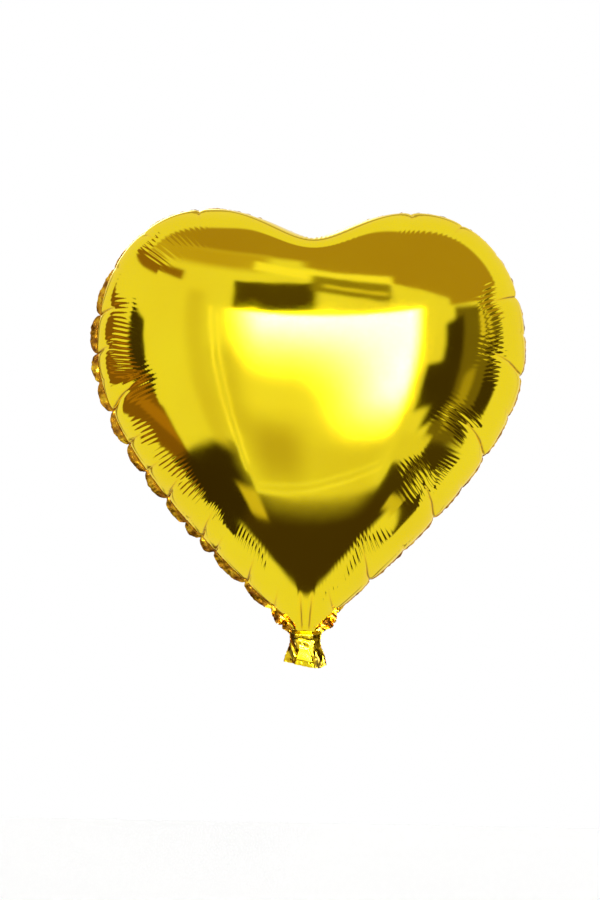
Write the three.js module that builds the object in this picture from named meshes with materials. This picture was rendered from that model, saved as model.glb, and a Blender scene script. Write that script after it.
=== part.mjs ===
// A heart-shaped foil balloon, filled with gas and held by its neck.
// Millimetres, +Z up, the front faces -Y, +X is the viewer's right.
// The origin is on the tie line: the crease across the neck where a ribbon is knotted.
// The balloon is two foil sheets welded round their edge, with a two-film valve in the neck.
import * as THREE from 'three';

// Driving dimensions of the filled heart, measured inside its seam
const heartWidth = 389;
const lobeTopHeight = 387;
const lobeTopOffset = 92;
const cleftDepth = 24;
const widestHeight = 262;
const crownHeight = 232;
const heartDepth = 168;
const shoulderHalfWidth = 26;
const shoulderHeight = 22.5;
const shoulderSlope = THREE.MathUtils.degToRad(49);

// Neck, tail and seam
const channelWidth = 21;
const seamWidth = 6;
const seamLap = 1;
const tailLength = 26.2;
const mouthWidth = 39;

// Valve
const valveSideGap = 0.5;
const valveLength = 92;
const valveLift = 4;
const valveMouthInset = 7;

// Sheets: each is drawn far thicker than real film, so that it is a solid
const foilThickness = 0.6;
const filmThickness = 0.4;
const layerGap = 0.3;
const foldClearance = 2.6;
const tailClearance = 1.8;

// Fullness of the outline's curves: how far each handle reaches across its stretch
const lobeFullness = 0.59;
const cleftSoftness = 0.3;
const topFullness = 0.5;
const sideReach = 0.58;
const sideFullness = 0.23;
const neckReach = 0.3;

// Fullness of the dome: how round it is and how steeply it meets the seam, by the lobes and the neck
const lobeRoundness = 2;
const neckRoundness = 1.1;
const lobeSteepness = 0.6;
const neckSteepness = 0.72;
const neckFocus = 3;

// Fineness of the drawn surface
const stationsPerStretch = { neck: 3, side: 11, lobe: 11, top: 7 };
const ringCount = 7;
const tailEdgeSteps = 6;

// The layers lie symmetrically about the seam plane y = 0, films inside and foil outside
const filmInner = layerGap / 2;
const filmOuter = filmInner + filmThickness;
const foilInner = filmOuter + layerGap;
const foilOuter = foilInner + foilThickness;

// The valve fills the channel between the welds on its two sides
const valveWidth = channelWidth - 2 * (seamLap + valveSideGap);

// The tail hangs below the crease, as wide at its top as the neck with its two welds
const neckHalfWidth = channelWidth / 2 + seamWidth;
const tailTop = -tailClearance;
const tailFoot = tailTop - tailLength;

const gold = { color: 0xe3b81f, metalness: 1.0, roughness: 0.12 };
const seamGold = { color: 0xc99a1c, metalness: 1.0, roughness: 0.3 };
const clearFilm = { color: 0xe9eceb, metalness: 0.0, roughness: 0.25 };

function namedMesh(name, geometry, look) {
  const mesh = new THREE.Mesh(geometry, new THREE.MeshStandardMaterial(look));
  mesh.name = name;
  return mesh;
}

// Right half of the heart's outline, from the foot of the neck up to the cleft
function rightHalfOutline() {
  const foot = new THREE.Vector2(channelWidth / 2, foldClearance);
  const shoulder = new THREE.Vector2(shoulderHalfWidth, shoulderHeight);
  const widest = new THREE.Vector2(heartWidth / 2, widestHeight);
  const lobeTop = new THREE.Vector2(lobeTopOffset, lobeTopHeight);
  const cleft = new THREE.Vector2(0, lobeTopHeight - cleftDepth);
  const slope = new THREE.Vector2(Math.sin(shoulderSlope), Math.cos(shoulderSlope));

  const neckHandle = neckReach * foot.distanceTo(shoulder);
  const sideHandle = sideReach * shoulder.distanceTo(widest);
  const stretches = [
    ['neck', foot, new THREE.Vector2(foot.x, foot.y + neckHandle),
      shoulder.clone().addScaledVector(slope, -neckHandle), shoulder],
    ['side', shoulder, shoulder.clone().addScaledVector(slope, sideHandle),
      new THREE.Vector2(widest.x, widest.y - sideFullness * (widest.y - shoulder.y)), widest],
    ['lobe', widest, new THREE.Vector2(widest.x, widest.y + lobeFullness * (lobeTop.y - widest.y)),
      new THREE.Vector2(lobeTop.x + lobeFullness * (widest.x - lobeTop.x), lobeTop.y), lobeTop],
    ['top', lobeTop, new THREE.Vector2(lobeTop.x * (1 - topFullness), lobeTop.y),
      new THREE.Vector2(lobeTop.x * cleftSoftness, cleft.y), cleft],
  ];

  const points = [foot];
  for (const [name, start, startHandle, endHandle, end] of stretches) {
    const curve = new THREE.CubicBezierCurve(start, startHandle, endHandle, end);
    points.push(...curve.getPoints(stationsPerStretch[name]).slice(1));
  }
  return points;
}

// The whole outline as a path that is open across the foot of the neck
function heartOutline() {
  const right = rightHalfOutline();
  const left = right.slice(0, -1).reverse();
  return [...right, ...left.map((point) => new THREE.Vector2(-point.x, point.y))];
}

// Moves each point of an outline sideways, outwards for a positive distance
function offsetOutline(points, distance, closed) {
  const last = points.length - 1;
  return points.map((point, index) => {
    const before = points[index > 0 ? index - 1 : (closed ? last : 0)];
    const after = points[index < last ? index + 1 : (closed ? 0 : last)];
    const arriving = point.clone().sub(before);
    const leaving = after.clone().sub(point);
    const first = arriving.lengthSq() > 0 ? arriving : leaving;
    const second = leaving.lengthSq() > 0 ? leaving : arriving;
    const firstNormal = new THREE.Vector2(first.y, -first.x).normalize();
    const secondNormal = new THREE.Vector2(second.y, -second.x).normalize();
    const mitre = firstNormal.clone().add(secondNormal).normalize();
    return point.clone().addScaledVector(mitre, distance / mitre.dot(firstNormal));
  });
}

// How far the foil stands off the seam plane, from 1 at the crown to 0 at the seam.
// It is round towards the lobes and sides, and runs down almost straight towards the neck.
function fullness(share, direction) {
  const towardsNeck = ((1 - direction.y) / 2) ** neckFocus;
  const roundness = THREE.MathUtils.lerp(lobeRoundness, neckRoundness, towardsNeck);
  const steepness = THREE.MathUtils.lerp(lobeSteepness, neckSteepness, towardsNeck);
  return Math.max(0, 1 - share ** roundness) ** steepness;
}

// One skin of a panel: the crown point, then rings out to the seam
function panelSkin(outline, depth, side) {
  const crown = new THREE.Vector2(0, crownHeight);
  const rows = [[new THREE.Vector3(crown.x, side * (foilInner + depth), crown.y)]];
  for (let ring = 1; ring <= ringCount; ring += 1) {
    const share = Math.sin((ring / ringCount) * Math.PI / 2);
    rows.push(outline.map((point) => {
      const reach = point.clone().sub(crown);
      const place = crown.clone().addScaledVector(reach, share);
      const height = depth * fullness(share, reach.normalize());
      return new THREE.Vector3(place.x, side * (foilInner + height), place.y);
    }));
  }
  return rows;
}

// A foil panel is a thin domed shell: its outer skin, its inner skin and the rim between them
function panelGeometry(side) {
  const outline = heartOutline();
  const innerOutline = offsetOutline(outline, -foilThickness, true);
  const depth = heartDepth / 2 - foilInner;
  const outer = panelSkin(outline, depth, side);
  const inner = panelSkin(innerOutline, depth - foilThickness, side);

  const points = [];
  const firstOf = new Map();
  for (const row of [...outer, ...inner]) {
    firstOf.set(row, points.length);
    points.push(...row);
  }
  const count = outline.length;
  const triangles = [];
  const addTriangle = (a, b, c, flip) => triangles.push(...(flip ? [a, c, b] : [a, b, c]));
  const addBand = (low, high, flip) => {
    for (let station = 0; station < count; station += 1) {
      const next = (station + 1) % count;
      addTriangle(low + station, high + next, high + station, flip);
      addTriangle(low + station, low + next, high + next, flip);
    }
  };
  for (const [rows, flip] of [[outer, side > 0], [inner, side < 0]]) {
    const crown = firstOf.get(rows[0]);
    const firstRing = firstOf.get(rows[1]);
    for (let station = 0; station < count; station += 1) {
      addTriangle(crown, firstRing + (station + 1) % count, firstRing + station, !flip);
    }
    for (let ring = 1; ring < ringCount; ring += 1) {
      addBand(firstOf.get(rows[ring]), firstOf.get(rows[ring + 1]), !flip);
    }
  }
  addBand(firstOf.get(outer[ringCount]), firstOf.get(inner[ringCount]), side < 0);

  const geometry = new THREE.BufferGeometry();
  geometry.setFromPoints(points);
  geometry.setIndex(triangles);
  geometry.computeVertexNormals();
  return geometry;
}

// A flat sheet standing in the XZ plane, from yBack forwards by its thickness
function standingSheet(name, outline, thickness, yBack, look) {
  const geometry = new THREE.ExtrudeGeometry(new THREE.Shape(outline), {
    depth: thickness,
    bevelEnabled: false,
  });
  const sheet = namedMesh(name, geometry, look);
  sheet.rotation.x = Math.PI / 2;
  sheet.position.y = yBack;
  return sheet;
}

function rectangle(left, right, bottom, top) {
  return [
    new THREE.Vector2(left, bottom),
    new THREE.Vector2(right, bottom),
    new THREE.Vector2(right, top),
    new THREE.Vector2(left, top),
  ];
}

// The weld round the heart: a flat fin outside the panels, lapped a little way under their rims
function perimeterSeam() {
  const outline = heartOutline();
  const outerEdge = offsetOutline(outline, seamWidth, false);
  const innerEdge = offsetOutline(outline, -seamLap, false);
  const band = [...outerEdge, ...innerEdge.reverse()];
  return standingSheet('perimeter_seam', band, 2 * filmOuter, filmOuter, seamGold);
}

// The tail's edge on one side, which flares from the crease down to the mouth
function tailEdge(side, inset) {
  const top = new THREE.Vector2(side * (neckHalfWidth - inset), tailTop);
  const foot = new THREE.Vector2(side * (mouthWidth / 2 - inset), tailFoot);
  const waist = new THREE.Vector2(top.x, (tailTop + tailFoot) / 2);
  return new THREE.QuadraticBezierCurve(top, waist, foot).getPoints(tailEdgeSteps);
}

function tailFlap(name, yBack) {
  const outline = [...tailEdge(-1, 0), ...tailEdge(1, 0).reverse()];
  return standingSheet(name, outline, foilThickness, yBack, gold);
}

function tailSideSeam(name, side) {
  const outline = [...tailEdge(side, seamWidth), ...tailEdge(side, 0).reverse()];
  return standingSheet(name, outline, 2 * filmOuter, filmOuter, seamGold);
}

function valveFilm(name, yBack) {
  const outline = rectangle(-valveWidth / 2, valveWidth / 2, valveLift, valveLift + valveLength);
  return standingSheet(name, outline, filmThickness, yBack, clearFilm);
}

function tailValveFilm(name, yBack) {
  const outline = rectangle(-valveWidth / 2, valveWidth / 2, tailFoot + valveMouthInset, tailTop);
  return standingSheet(name, outline, filmThickness, yBack, clearFilm);
}

// The envelope: everything above the crease that keeps its place as the tail folds
const envelope = new THREE.Group();
envelope.add(namedMesh('front_panel', panelGeometry(-1), gold));
envelope.add(namedMesh('rear_panel', panelGeometry(1), gold));
envelope.add(perimeterSeam());

// The valve films, which part from their lower ends upwards
const valve = new THREE.Group();
valve.add(valveFilm('valve_front_film', -filmInner));
valve.add(valveFilm('valve_rear_film', filmOuter));

// The tail, which folds about the tie line
const tail = new THREE.Group();
tail.add(tailFlap('tail_front_flap', -foilInner));
tail.add(tailFlap('tail_rear_flap', foilOuter));
tail.add(tailSideSeam('tail_left_seam', -1));
tail.add(tailSideSeam('tail_right_seam', 1));
tail.add(tailValveFilm('tail_valve_front_film', -filmInner));
tail.add(tailValveFilm('tail_valve_rear_film', filmOuter));

const balloon = new THREE.Group();
balloon.add(envelope, valve, tail);

export default balloon;
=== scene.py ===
# %% [markdown]
# # A heart-shaped foil balloon
# The real balloon is two sheets of gold metallised film, cut as a heart with a short tail and welded
# together round the edge. Gas holds the sheets out as two domes, and because flat film can't stretch
# into a dome, the edge is too long for its new shape and gathers into pleats.
# The lesson starts from the imported model, which fixes every size and place, and makes each skin of
# film over it: domes, pleats, welded edge, neck and tail, and gives the valve inside its material.

# %% Load the frame
import math
import random

import bpy
import numpy as np
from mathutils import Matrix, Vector


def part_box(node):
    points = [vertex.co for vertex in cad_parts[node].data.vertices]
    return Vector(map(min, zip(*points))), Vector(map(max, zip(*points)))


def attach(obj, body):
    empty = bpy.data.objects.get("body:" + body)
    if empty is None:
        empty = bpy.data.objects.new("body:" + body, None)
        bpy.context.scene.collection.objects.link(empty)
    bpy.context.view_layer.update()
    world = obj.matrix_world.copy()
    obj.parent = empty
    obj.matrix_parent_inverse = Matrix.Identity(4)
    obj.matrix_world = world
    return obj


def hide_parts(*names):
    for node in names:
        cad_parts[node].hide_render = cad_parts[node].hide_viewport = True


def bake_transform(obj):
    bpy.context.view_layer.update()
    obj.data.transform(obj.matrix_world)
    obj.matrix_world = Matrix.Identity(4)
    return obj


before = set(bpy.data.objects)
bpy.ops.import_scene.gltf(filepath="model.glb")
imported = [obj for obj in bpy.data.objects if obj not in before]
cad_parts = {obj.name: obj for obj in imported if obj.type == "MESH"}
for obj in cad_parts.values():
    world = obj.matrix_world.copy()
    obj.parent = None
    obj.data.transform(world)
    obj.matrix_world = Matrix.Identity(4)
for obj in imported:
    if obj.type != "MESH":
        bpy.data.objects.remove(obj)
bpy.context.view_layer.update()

# %% [markdown]
# ## The camera
# A long lens far back keeps both lobes the same size. The balloon floats, so the camera looks
# straight at it, and a slight roll gives the lean.

# %% Camera
CAMERA_DISTANCE = 1.930
CAMERA_LENS = 85
CAMERA_AIM = Vector((-0.0080, 0, 0.170))
CAMERA_LIFT = math.radians(1.0)
CAMERA_ROLL = math.radians(1.1)

camera_data = bpy.data.cameras.new("camera")
camera_data.lens = CAMERA_LENS
camera = bpy.data.objects.new("camera", camera_data)
bpy.context.scene.collection.objects.link(camera)
backwards = Vector((0, -math.cos(CAMERA_LIFT), math.sin(CAMERA_LIFT)))
camera.location = CAMERA_AIM + CAMERA_DISTANCE * backwards
camera.rotation_mode = "QUATERNION"
camera.rotation_quaternion = (-backwards).to_track_quat("-Z", "Y")
camera.rotation_mode = "XYZ"
camera.rotation_euler.rotate_axis("Z", CAMERA_ROLL)
bpy.context.scene.camera = camera
print("camera at", tuple(round(c, 3) for c in camera.location))

# %% [markdown]
# ## The outline of the filled heart
# Four curves make each half: the neck's flare, the long side, the round lobe and the dip into the
# cleft. The sizes come from the frame's boxes; only the places where one curve hands over to the
# next, and how full each curve is, are chosen here.

# %% Outline
panel_low, panel_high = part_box("front_panel")
seam_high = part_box("perimeter_seam")[1]
HALF_WIDTH = panel_high.x
LOBE_TOP = panel_high.z
FOOT = panel_low.z
LAYER_GAP = -panel_high.y
DOME_DEPTH = -panel_low.y - LAYER_GAP
SEAM_WIDTH = seam_high.x - panel_high.x
NECK_HALF = 0.0105
SHOULDER = np.array((0.026, 0.0225))
SHOULDER_SLOPE = math.radians(49)
WIDEST_AT = 0.262
LOBE_TOP_AT = 0.092
CLEFT_DROP = 0.024


def curve_points(start, start_handle, end_handle, end, count):
    """Points along a cubic curve, without its first point."""
    t = np.linspace(0, 1, count + 1)[1:, None]
    return (
        (1 - t) ** 3 * start
        + 3 * (1 - t) ** 2 * t * start_handle
        + 3 * (1 - t) * t**2 * end_handle
        + t**3 * end
    )


def right_half_outline(count=200):
    foot = np.array((NECK_HALF, FOOT))
    widest = np.array((HALF_WIDTH, WIDEST_AT))
    lobe = np.array((LOBE_TOP_AT, LOBE_TOP))
    cleft = np.array((0.0, LOBE_TOP - CLEFT_DROP))
    slope = np.array((math.sin(SHOULDER_SLOPE), math.cos(SHOULDER_SLOPE)))
    neck_handle = 0.30 * np.linalg.norm(SHOULDER - foot)
    side_handle = 0.58 * np.linalg.norm(widest - SHOULDER)
    up = np.array((0.0, 1.0))
    across = np.array((1.0, 0.0))
    return np.vstack((
        foot[None],
        curve_points(foot, foot + neck_handle * up, SHOULDER - neck_handle * slope, SHOULDER, count),
        curve_points(SHOULDER, SHOULDER + side_handle * slope,
                     widest - 0.23 * (WIDEST_AT - SHOULDER[1]) * up, widest, count),
        curve_points(widest, widest + 0.59 * (LOBE_TOP - WIDEST_AT) * up,
                     lobe + 0.59 * (HALF_WIDTH - LOBE_TOP_AT) * across, lobe, count),
        curve_points(lobe, lobe - 0.5 * LOBE_TOP_AT * across,
                     cleft + 0.22 * LOBE_TOP_AT * across, cleft, count),
    ))


def resample(points, count):
    """Evenly spaced points along a path, both ends included."""
    steps = np.linalg.norm(np.diff(points, axis=0), axis=1)
    run = np.concatenate(([0], np.cumsum(steps)))
    where = np.linspace(0, run[-1], count)
    return np.stack([np.interp(where, run, points[:, k]) for k in range(points.shape[1])], 1), run[-1]


# %% [markdown]
# ## A grid for one dome
# Mirror-like film shows every uneven face, so the grid has to be regular. A square patch fills the
# middle, and rings of quads carry it out to the seam. A round grid with spokes would meet in a
# point and pinch the reflections. The gathers need fine columns and the smooth middle doesn't, so
# the columns double on the way out, and the rings crowd together where the film curls over.

# %% Grid sizes
PATCH_SIDE = 150
OUTER_RINGS = 50
MIDDLE_RINGS = 8
MIDDLE_SHARE = 0.46
PATCH_SHARE = 0.36
RING_POWER = 1.9
CROWN = np.array((0.0, 0.232))
MIDDLE_STATIONS = 4 * PATCH_SIDE
STATIONS = 2 * MIDDLE_STATIONS

half = right_half_outline()
loop = np.vstack((half, half[-2::-1] * (-1, 1)))
seam_run = np.linalg.norm(np.diff(loop, axis=0), axis=1).sum()
foot_stations = 4 * round(STATIONS * NECK_HALF / (2 * seam_run))
seam_points, seam_length = resample(loop, STATIONS - foot_stations + 1)
foot_points = np.linspace(seam_points[-1], seam_points[0], foot_stations + 1)[1:-1]
outline = np.vstack((seam_points, foot_points))
along_seam = np.full(STATIONS, np.nan)
along_seam[: len(seam_points)] = np.linspace(0, seam_length, len(seam_points))
# turn the loop so that the patch's corners stand evenly about the centre line
turn = PATCH_SIDE + foot_stations // 2
outline = np.roll(outline, turn, 0)
along_seam = np.roll(along_seam, turn)
print("seam length", round(float(seam_length), 4), "stations", STATIONS, "foot", foot_stations)


# %% Grid points
def square_patch(edge_loop):
    """Fills a loop of 4 * PATCH_SIDE points with a square of points, by blending its edges."""
    side = PATCH_SIDE
    bottom = edge_loop[: side + 1]
    right = edge_loop[side: 2 * side + 1]
    top = edge_loop[2 * side: 3 * side + 1][::-1]
    left = np.vstack((edge_loop[3 * side:], edge_loop[:1]))[::-1]
    u = np.linspace(0, 1, side + 1)[None, :, None]
    v = np.linspace(0, 1, side + 1)[:, None, None]
    flat = (1 - v) * bottom[None] + v * top[None] + (1 - u) * left[:, None] + u * right[:, None]
    corners = ((1 - u) * (1 - v) * bottom[0] + u * (1 - v) * bottom[-1]
               + (1 - u) * v * top[0] + u * v * top[-1])
    return flat - corners


def ring_loops(count, start, end, points, power):
    """Loops from one share of the outline's size to another, the first one included."""
    shares = start + (end - start) * np.linspace(0, 1, count + 1) ** power
    return np.stack([CROWN + share * (points - CROWN) for share in shares])


outer = ring_loops(OUTER_RINGS, 1.0, MIDDLE_SHARE, outline, RING_POWER)
middle = ring_loops(MIDDLE_RINGS, MIDDLE_SHARE - 0.015, PATCH_SHARE, outline[::2], 1.0)
patch = square_patch(middle[-1])

outer_ids = np.arange((OUTER_RINGS + 1) * STATIONS).reshape(OUTER_RINGS + 1, STATIONS)
middle_ids = outer_ids.size + np.arange(middle.shape[0] * MIDDLE_STATIONS)
middle_ids = middle_ids.reshape(-1, MIDDLE_STATIONS)
patch_ids = np.full((PATCH_SIDE + 1, PATCH_SIDE + 1), -1)
edge = middle_ids[-1]
patch_ids[0] = edge[: PATCH_SIDE + 1]
patch_ids[:, -1] = edge[PATCH_SIDE: 2 * PATCH_SIDE + 1]
patch_ids[-1] = edge[2 * PATCH_SIDE: 3 * PATCH_SIDE + 1][::-1]
patch_ids[:, 0] = np.concatenate((edge[3 * PATCH_SIDE:], edge[:1]))[::-1]
patch_free = patch_ids < 0
patch_ids[patch_free] = outer_ids.size + middle_ids.size + np.arange(patch_free.sum())
plan = np.vstack((outer.reshape(-1, 2), middle.reshape(-1, 2), patch[patch_free]))


# %% Grid faces
def ring_quads(ids):
    a, b = ids[:-1], ids[1:]
    return np.stack((a, np.roll(a, -1, 1), np.roll(b, -1, 1), b), -1).reshape(-1, 4)


quads = np.vstack((
    ring_quads(outer_ids), ring_quads(middle_ids),
    np.stack((patch_ids[:-1, :-1], patch_ids[:-1, 1:], patch_ids[1:, 1:], patch_ids[1:, :-1]), -1)
    .reshape(-1, 4)))
many, few = outer_ids[-1], middle_ids[0]
even, odd, after = many[::2], many[1::2], np.roll(many[::2], -1)
few_after = np.roll(few, -1)
bridge = np.vstack((np.stack((even, odd, few), 1), np.stack((odd, few_after, few), 1),
                    np.stack((odd, after, few_after), 1)))
triangles = np.vstack((quads[:, (0, 1, 2)], quads[:, (0, 2, 3)], bridge))
print("grid points", len(plan), "triangles", len(triangles))

# %% [markdown]
# ## How far the gas pushes the film out
# A soap film stretched over the outline and blown slightly has the right kind of shape: high in the
# middle, lower along the lobes, and only a thin tube in the neck. Its height solves a plain
# equation on the grid, found here by conjugate gradients. A foil balloon is much rounder at its edge
# than a soap film, because its sides stand almost upright at the seam, and a power a little above
# one half turns the one shape into the other. Foil is also too stiff to follow the cleft far into
# the heart: it spans from lobe to lobe. So a second film is held a little above the cleft instead
# of in it, and the lower of the two, smoothly joined, is the dome.

# %% Soap film
FOIL_POWER = 0.55
CLEFT_FREEDOM = 0.020
CLEFT_STEEPNESS = 1.8
JOIN_POWER = 5


def film_equation(points, faces):
    """The pull between neighbouring points and the gas's push on each of them."""
    p = points[faces]
    first, second = p[:, 1] - p[:, 0], p[:, 2] - p[:, 0]
    area = 0.5 * np.abs(first[:, 0] * second[:, 1] - first[:, 1] * second[:, 0])
    starts, ends, pulls = [], [], []
    push = np.zeros(len(points))
    for i, j, k in ((0, 1, 2), (1, 2, 0), (2, 0, 1)):
        pull = 0.5 * ((p[:, i] - p[:, k]) * (p[:, j] - p[:, k])).sum(1) / np.maximum(2 * area, 1e-14)
        starts.append(faces[:, i])
        ends.append(faces[:, j])
        pulls.append(pull)
        push += np.bincount(faces[:, i], area / 3, len(points))
    return np.concatenate(starts), np.concatenate(ends), np.concatenate(pulls), push


def solve_film(equation, hold, steps=2500, tolerance=1e-6):
    """Heights of a film whose points are each held down with the given stiffness."""
    starts, ends, pulls, push = equation
    count = len(push)
    diagonal = np.bincount(starts, pulls, count) + np.bincount(ends, pulls, count) + hold

    def stiffness(x):
        change = np.bincount(starts, pulls * x[ends], count) + np.bincount(ends, pulls * x[starts], count)
        return diagonal * x - change

    height = np.zeros(count)
    rest = push.copy()
    search = rest / diagonal
    size = first = rest @ search
    for step in range(steps):
        pushed = stiffness(search)
        move = size / (search @ pushed)
        height += move * search
        rest -= move * pushed
        conditioned = rest / diagonal
        new_size = rest @ conditioned
        search = conditioned + (new_size / size) * search
        size = new_size
        if size < tolerance**2 * first:
            break
    print("film solved in", step + 1, "steps")
    return np.maximum(height, 0) / height.max()


# %% Dome heights
def seam_hold(freedom):
    """Stiff along the seam, but between the lobes as soft as a film held above the cleft."""
    spacing = np.linalg.norm(np.roll(outline, -1, 0) - np.roll(outline, 1, 0), axis=1) / 2
    in_cleft = (np.abs(outline[:, 0]) < LOBE_TOP_AT) & (outline[:, 1] > WIDEST_AT)
    below = np.where(in_cleft, LOBE_TOP - outline[:, 1], 0)
    slack = below * (1 + freedom / CLEFT_DROP) if freedom else below * 0
    hold = np.zeros(len(plan))
    hold[outer_ids[0]] = spacing / (slack + 1e-6)
    return hold


equation = film_equation(plan, triangles)
pinned_film = solve_film(equation, seam_hold(0)) ** FOIL_POWER
spanning_film = solve_film(equation, seam_hold(CLEFT_FREEDOM)) ** FOIL_POWER
steep = np.maximum(CLEFT_STEEPNESS * pinned_film, 1e-9)
dome = (np.maximum(spanning_film, 1e-9) ** -JOIN_POWER + steep**-JOIN_POWER) ** (-1 / JOIN_POWER)
dome[outer_ids[0]] = 0
dome *= DOME_DEPTH / dome.max()
print("crown of the dome at", np.round(plan[dome.argmax()], 3))

# %% [markdown]
# ## Pleats and gathers
# The flat heart is about a seventh wider than the filled one, and all that spare edge has to go
# somewhere. Every few centimetres it folds in to a sharp crease that runs from the seam up over the
# roll and leans towards the crown; a few fine ridges crowd round its end. Between the creases the
# film stands out in a sausage, and its spare length shows as close, shallow gathers along the inner
# side of the roll. A cloth simulation of gas pressure gives creases too, but big and haphazard
# ones. Here each crease is a row of a list. The places of 18 of the 30 were worked out beforehand and
# rounded to a millimetre, and their reach and drift were then changed. The other rows, and
# every depth, are given one by one. Formulas give the section of every crease and lay the gathers. The
# foil inside a fold is painted orange to brown: painted shade, since there the film reflects only itself.

# %% Crease layout
# metres along the seam from the neck, depth, reach over the roll, and how far the end has drifted
# up the side
RIGHT_CREASES = [
    (0.028, 0.0026, 0.050, -0.008), (0.070, 0.0036, 0.070, 0.002), (0.110, 0.0012, 0.032, 0.004),
    (0.151, 0.0044, 0.086, 0.024), (0.188, 0.0012, 0.030, 0.006), (0.223, 0.0052, 0.092, 0.040),
    (0.266, 0.0014, 0.034, 0.010), (0.304, 0.0046, 0.074, 0.034), (0.342, 0.0012, 0.028, 0.006),
    (0.378, 0.0034, 0.060, 0.006), (0.420, 0.0008, 0.026, 0.002), (0.462, 0.0016, 0.036, 0.000),
    (0.511, 0.0020, 0.032, -0.006), (0.560, 0.0008, 0.024, 0.000),
]
LEFT_CREASES = [
    (0.032, 0.0022, 0.042, -0.004), (0.066, 0.0032, 0.056, -0.002), (0.105, 0.0024, 0.046, 0.000),
    (0.123, 0.0032, 0.062, 0.006), (0.142, 0.0012, 0.034, 0.000), (0.170, 0.0036, 0.060, 0.010),
    (0.200, 0.0022, 0.052, 0.004), (0.230, 0.0026, 0.056, 0.008), (0.263, 0.0054, 0.088, 0.040),
    (0.292, 0.0010, 0.028, 0.004), (0.318, 0.0028, 0.044, 0.012), (0.354, 0.0034, 0.054, 0.018),
    (0.398, 0.0010, 0.030, 0.004), (0.440, 0.0018, 0.036, 0.002), (0.496, 0.0020, 0.032, -0.006),
    (0.548, 0.0008, 0.024, 0.000),
]
CLEFT_CREASE = (0.5 * seam_length, 0.0030, 0.040, 0.002)


def whole_seam(right, left, middle):
    """All creases by their place along the whole seam, from the neck's right to its left."""
    creases = list(right) + [middle]
    creases += [(seam_length - place, depth, reach, -drift) for place, depth, reach, drift in left]
    return sorted(creases)


FRONT_CREASES = whole_seam(RIGHT_CREASES, LEFT_CREASES, CLEFT_CREASE)
REAR_CREASES = whole_seam(LEFT_CREASES, RIGHT_CREASES, CLEFT_CREASE)
print(len(FRONT_CREASES), "creases, mean spacing", round(float(seam_length) / len(FRONT_CREASES), 4))


# %% Distances on the dome
def smooth(t):
    t = np.clip(t, 0, 1)
    return t * t * (3 - 2 * t)


def bump_between(t, start, end):
    """0 outside the range, rising smoothly to 1 in its middle."""
    return smooth((t - start) / (0.5 * (end - start))) * smooth((end - t) / (0.5 * (end - start)))


ring_points = np.dstack((plan[outer_ids], dome[outer_ids]))
ring_steps = np.linalg.norm(np.diff(ring_points, axis=0), axis=2)
inwards = np.concatenate((np.zeros((1, STATIONS)), np.cumsum(ring_steps, 0)))
ring_spacing = np.linalg.norm(ring_points - np.roll(ring_points, -1, 1), axis=2)
closing = ring_spacing / np.maximum(ring_spacing[:1], 1e-6)
place = np.where(np.isnan(along_seam), -1.0, along_seam)[None, :]
from_neck = np.minimum(place, seam_length - place)
print("film from seam to the middle rings", round(float(inwards[-1].mean()), 3))

# %% Creases and gathers
CREASE_WIDTH = 0.0032
SEAM_NOTCH = 0.38
SLIT_DEPTH = 0.0017
SLIT_WIDTH = 0.0014
SHADE_WIDTH = 0.0009
SHOULDER_WIDTH = 0.011
RIDGE_PITCH = 0.0044
RIDGE_HEIGHT = 0.00045
GATHER_PITCH = 0.0050
GATHER_HEIGHT = 0.00032
FULL_CREASE = 0.0030


def beside_crease(where, reach, drift):
    """Each point's share of the way up a crease, and its distance to the crease's line."""
    t = inwards / reach
    return t, np.abs(place - where - drift * np.minimum(t, 1.2)) * closing


def crease_depths(creases):
    out = np.zeros_like(inwards)
    for where, depth, reach, drift in creases:
        t, aside = beside_crease(where, reach, drift)
        strong = min(1, depth / FULL_CREASE)
        narrow = np.exp(-aside / (CREASE_WIDTH * (1 - 0.35 * np.clip(t, 0, 1))))
        broad = 1 / (1 + (aside / SHOULDER_WIDTH) ** 2) ** 2
        fade = (1 - smooth(t)) ** 0.7 * (SEAM_NOTCH + (1 - SEAM_NOTCH) * smooth(inwards / 0.022))
        out -= depth * fade * (0.40 * narrow + 0.65 * broad * (1 - smooth(1.15 * t - 0.15)))
        out -= SLIT_DEPTH * strong * np.exp(-aside / SLIT_WIDTH) * (1 - smooth(1.1 * t - 0.1))
        ridges = np.cos(aside / RIDGE_PITCH * math.tau) * np.exp(-(aside / 0.011) ** 2)
        out += RIDGE_HEIGHT * strong * ridges * bump_between(t, 0.30, 1.1)
    return out


def crease_shade(creases):
    """Painted shade: how dark each point is painted in a crease, where the film reflects itself again and
    again.
    """
    out = np.zeros_like(inwards)
    for where, depth, reach, drift in creases:
        t, aside = beside_crease(where, reach, drift)
        line = np.exp(-((aside / SHADE_WIDTH) ** 2)) * (1 - smooth(1.4 * t - 0.4))
        out = np.maximum(out, min(1, depth / FULL_CREASE) ** 1.5 * line)
    return out


def gather_depths(seed):
    chance = random.Random(seed)
    turns = place / GATHER_PITCH * math.tau
    patches = np.zeros_like(place)
    for wave in range(1, 16):
        start = chance.uniform(0, math.tau)
        turns = turns + 3.0 / wave * np.sin(wave * 3.1 * place / seam_length * math.tau + start)
        patches += chance.uniform(-1, 1) * np.sin(wave * place / seam_length * math.tau + start)
    strength = smooth(0.45 + 0.55 * patches) * (1 - 0.8 * smooth((from_neck - 0.30) / 0.10))
    strength = strength * smooth((from_neck - 0.02) / 0.05)
    lean = 60 * inwards
    return GATHER_HEIGHT * strength * np.sin(turns + lean) * bump_between(inwards, 0.020, 0.070)


# %% [markdown]
# ## Neck folds
# Just above the tail the two rolls run together and leave a narrow strip between two valleys, and
# the film round them is crushed. Crushed foil is made of small flat faces that meet in sharp
# folds, where noise would look like putty. So the crushing is a coarse net of random heights, read
# as flat triangles, with the net itself bent a little so that its lines don't show.

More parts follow.
